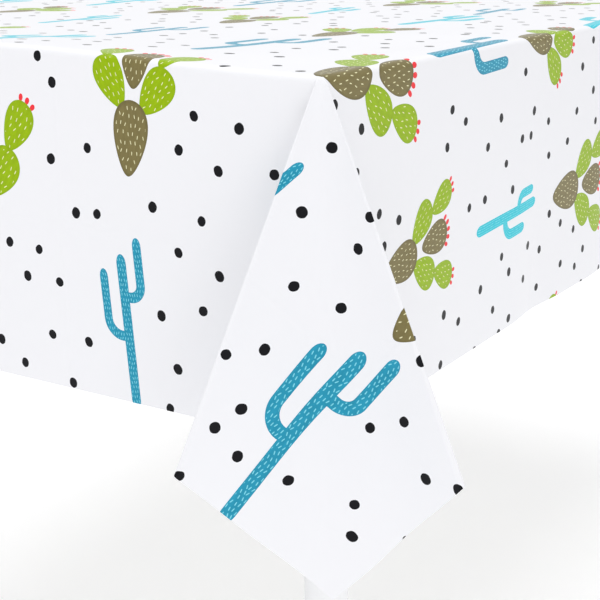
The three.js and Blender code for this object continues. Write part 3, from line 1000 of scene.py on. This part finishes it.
def finish_nodes(prefixes, material):
    """Gives the CAD nodes whose names start with one of the prefixes this material."""
    for name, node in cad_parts.items():
        if name.startswith(prefixes):
            node.data.materials.clear()
            node.data.materials.append(material)


# ---------------------------------------------------------------- fine legs and feet


def turned_piece(name, profile, place, material, sides=72):
    """A closed profile of radius and height carried once round an upright axis at place."""
    radius, height = np.array(profile, dtype=float).T
    angle = np.linspace(0, 2 * math.pi, sides, endpoint=False)
    points = np.stack(
        [
            place[0] + radius[:, None] * np.cos(angle),
            place[1] + radius[:, None] * np.sin(angle),
            np.broadcast_to(height[:, None], (len(radius), sides)),
        ],
        axis=-1,
    ).reshape(-1, 3)
    rows = len(radius)
    cells = grid_quads(rows, sides, closed=True)
    last = (rows - 1) * sides
    column = np.arange(sides)
    following = (column + 1) % sides
    closing = np.stack([last + column, column, following, last + following], axis=1)
    faces = np.concatenate([cells, closing])[:, ::-1]
    piece = make_piece(name, points, faces.tolist())
    shade_smooth(piece)
    piece.data.materials.append(material)
    return piece


def rounded(corners, radius, steps=5):
    """A closed outline with a quadratic curve in place of each corner."""
    corners = np.array(corners, dtype=float)
    before = np.roll(corners, 1, axis=0) - corners
    after = np.roll(corners, -1, axis=0) - corners
    reach_before = np.minimum(radius, np.linalg.norm(before, axis=1) * 0.45)[:, None]
    reach_after = np.minimum(radius, np.linalg.norm(after, axis=1) * 0.45)[:, None]
    start = corners + before / np.linalg.norm(before, axis=1, keepdims=True) * reach_before
    end = corners + after / np.linalg.norm(after, axis=1, keepdims=True) * reach_after
    t = np.linspace(0, 1, steps)[:, None, None]
    curve = (1 - t) ** 2 * start + 2 * t * (1 - t) * corners + t ** 2 * end
    return curve.transpose(1, 0, 2).reshape(-1, 2)


def middle_of(node):
    low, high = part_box(node)
    return (Vector(low) + Vector(high)) / 2


def fine_leg(corner, material):
    """Round tube with rounded rims, in place of the CAD leg."""
    node = f"leg_{corner}"
    low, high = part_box(node)
    radius, wall = (high[0] - low[0]) / 2, 1.5 * MM
    inner = radius - wall
    outline = rounded(
        [(inner, low[2]), (radius, low[2]), (radius, high[2]), (inner, high[2])], 0.6 * MM
    )
    piece = turned_piece(f"fine_{node}", outline, middle_of(node), material)
    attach(piece, "table")
    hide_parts(node)


def fine_foot_pad(corner, material):
    """Moulded pad: flat tread with a soft lower rim, a dished shoulder and a collar seat."""
    node = f"foot_pad_{corner}"
    low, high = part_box(node)
    radius, top = (high[0] - low[0]) / 2, high[2] - low[2]
    bore, seat = 4.3 * MM, 3.0 * MM
    outline = rounded(
        [
            (0.2 * MM, 0), (radius - 1.4 * MM, 0), (radius, 1.6 * MM),
            (radius - 0.4 * MM, 0.55 * top), (0.72 * radius, 0.8 * top), (0.55 * radius, top),
            (bore, top), (bore, seat), (0.2 * MM, seat),
        ],
        1.1 * MM,
    )
    piece = turned_piece(f"fine_{node}", outline + np.array([0, low[2]]), middle_of(node), material)
    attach(piece, f"foot_{corner}")
    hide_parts(node)


# ---------------------------------------------------------------- operators


class LayTablecloth(bpy.types.Operator):
    """Builds the printed film sheet, folded at its four corners, and lays it over the table"""

    bl_idname = "tablecloth.lay_sheet"
    bl_label = "Lay Tablecloth"

    def execute(self, context):
        cloth, paint = context.scene.cloth_settings, context.scene.print_settings
        flat, place, faces = joined_sheet(sheet_patches(cloth))
        piece = make_piece("printed_tablecloth", place, faces)
        shade_smooth(piece)
        lay_print(piece, flat, cloth.cell)
        dashes = dash_group()
        groups = {"dash": dashes, "pad": pad_group(dashes), "crown": crown_group()}
        size = (HALF_TOP + cloth.drop) * 2
        for kind in SLOTS:
            piece.data.materials.append(film_material(kind, size.tolist(), paint, groups))
        wall = piece.modifiers.new("film", "SOLIDIFY")
        wall.thickness = cloth.thickness
        wall.offset = 0
        wall.use_rim = True
        piece.modifiers.new("broad_faces_shade", "WEIGHTED_NORMAL")
        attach(piece, "tablecloth")
        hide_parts("tablecloth")
        return {"FINISHED"}


class FinishTableTop(bpy.types.Operator):
    """Gives the laminated board and its edge bands their finishes"""

    bl_idname = "tablecloth.finish_top"
    bl_label = "Finish Table Top"

    def execute(self, context):
        finish_nodes(("table_top",), table_material("laminate"))
        finish_nodes(("edge_band",), table_material("banding"))
        return {"FINISHED"}


class FinishUnderframe(bpy.types.Operator):
    """Finishes the rails, saddles and corner blocks, and makes the four fine legs"""

    bl_idname = "tablecloth.finish_underframe"
    bl_label = "Finish Underframe"

    def execute(self, context):
        steel = table_material("painted_steel")
        finish_nodes(("rail_", "middle_saddle_"), steel)
        finish_nodes(("corner_block_",), table_material("cast_alloy"))
        for corner, *_ in CORNERS:
            fine_leg(corner, steel)
        return {"FINISHED"}


class FinishFeet(bpy.types.Operator):
    """Finishes the screws, studs and plugs, and makes the four moulded foot pads"""

    bl_idname = "tablecloth.finish_feet"
    bl_label = "Finish Screws and Feet"

    def execute(self, context):
        nylon = table_material("nylon")
        finish_nodes(("top_screw_", "foot_stud_"), table_material("zinc_steel"))
        finish_nodes(("leg_set_screw_",), table_material("black_steel"))
        finish_nodes(("leg_plug_",), nylon)
        for corner, *_ in CORNERS:
            fine_foot_pad(corner, nylon)
        return {"FINISHED"}


def floor_material(colour):
    """A pale floor that glows a little, so the shade under the table stays light."""
    material, _, shader = plain_material("studio_floor", colour, 0.7)
    shader.inputs["Emission Color"].default_value = rgba(colour)
    shader.inputs["Emission Strength"].default_value = 0.32
    return material


def add_light(name, place, target, size, power, colour=(1, 1, 1)):
    light = bpy.data.lights.new(name, "AREA")
    light.shape, light.size, light.size_y = "RECTANGLE", size[0], size[1]
    light.energy, light.color = power, colour
    lamp = bpy.data.objects.new(name, light)
    lamp.location = place
    lamp.rotation_euler = (Vector(target) - Vector(place)).to_track_quat("-Z", "Y").to_euler()
    bpy.context.scene.collection.objects.link(lamp)


class SetStage(bpy.types.Operator):
    """Sets the pale floor, the soft studio light and the camera"""

    bl_idname = "tablecloth.set_stage"
    bl_label = "Set Stage"

    def execute(self, context):
        stage = context.scene.stage_settings
        half = 60.0
        corners = np.array([(-half, -half, 0), (half, -half, 0), (half, half, 0), (-half, half, 0)])
        floor = make_piece("studio_floor", corners, [[0, 1, 2, 3]])
        floor.data.materials.append(floor_material(stage.floor))

        world = bpy.data.worlds.new("studio_world")
        world.use_nodes = True
        world.node_tree.nodes["Background"].inputs["Color"].default_value = (0.98, 0.98, 1.0, 1.0)
        world.node_tree.nodes["Background"].inputs["Strength"].default_value = 0.7
        context.scene.world = world
        context.scene.view_settings.view_transform = "Standard"

        add_light("key", (-2.0, -2.5, 1.15), (-0.69, -0.46, 0.6), (0.9, 0.9), 5)
        add_light("fill", (-3.0, -0.7, 1.9), (-0.69, -0.2, 0.6), (2.4, 2.4), 9)
        add_light("overhead", (0, 0, 3.4), (0, 0, 0.7), (3.6, 3.6), 65)

        camera = bpy.data.cameras.new("camera")
        camera.lens, camera.clip_start, camera.clip_end = stage.lens, 0.01, 200
        corner = Vector((-HALF_TOP[0], -HALF_TOP[1], TOP_HEIGHT))
        level = math.cos(stage.pitch)
        ahead = math.cos(stage.heading) * level, math.sin(stage.heading) * level
        way = Vector((*ahead, -math.sin(stage.pitch)))
        viewer = bpy.data.objects.new("camera", camera)
        viewer.location = corner + Vector(stage.stand)
        viewer.rotation_euler = way.to_track_quat("-Z", "Y").to_euler()
        context.scene.collection.objects.link(viewer)
        context.scene.camera = viewer
        return {"FINISHED"}


class TableclothPanel(bpy.types.Panel):
    """Lists the steps and the settings of the tablecloth, the print and the stage"""

    bl_idname = "VIEW3D_PT_tablecloth"
    bl_label = "Tablecloth"
    bl_space_type = "VIEW_3D"
    bl_region_type = "UI"
    bl_category = "Tablecloth"

    def draw(self, context):
        for step in STEPS:
            self.layout.operator(step.bl_idname)
        for settings in (
            context.scene.cloth_settings, context.scene.print_settings, context.scene.stage_settings
        ):
            box = self.layout.box()
            for name in settings.bl_rna.properties.keys():
                if name not in ("rna_type", "name"):
                    box.prop(settings, name)


STEPS = (SetStage, LayTablecloth, FinishTableTop, FinishUnderframe, FinishFeet)
GROUPS = (ClothSettings, PrintSettings, StageSettings)


def register():
    for item in GROUPS + STEPS + (TableclothPanel,):
        bpy.utils.register_class(item)
    bpy.types.Scene.cloth_settings = PointerProperty(type=ClothSettings)
    bpy.types.Scene.print_settings = PointerProperty(type=PrintSettings)
    bpy.types.Scene.stage_settings = PointerProperty(type=StageSettings)


def unregister():
    del bpy.types.Scene.stage_settings
    del bpy.types.Scene.print_settings
    del bpy.types.Scene.cloth_settings
    for item in (TableclothPanel,) + STEPS[::-1] + GROUPS[::-1]:
        bpy.utils.unregister_class(item)


def main():
    register()
    bpy.ops.tablecloth.set_stage()
    bpy.ops.tablecloth.lay_sheet()
    bpy.ops.tablecloth.finish_top()
    bpy.ops.tablecloth.finish_underframe()
    bpy.ops.tablecloth.finish_feet()


if __name__ == "__main__":
    main()
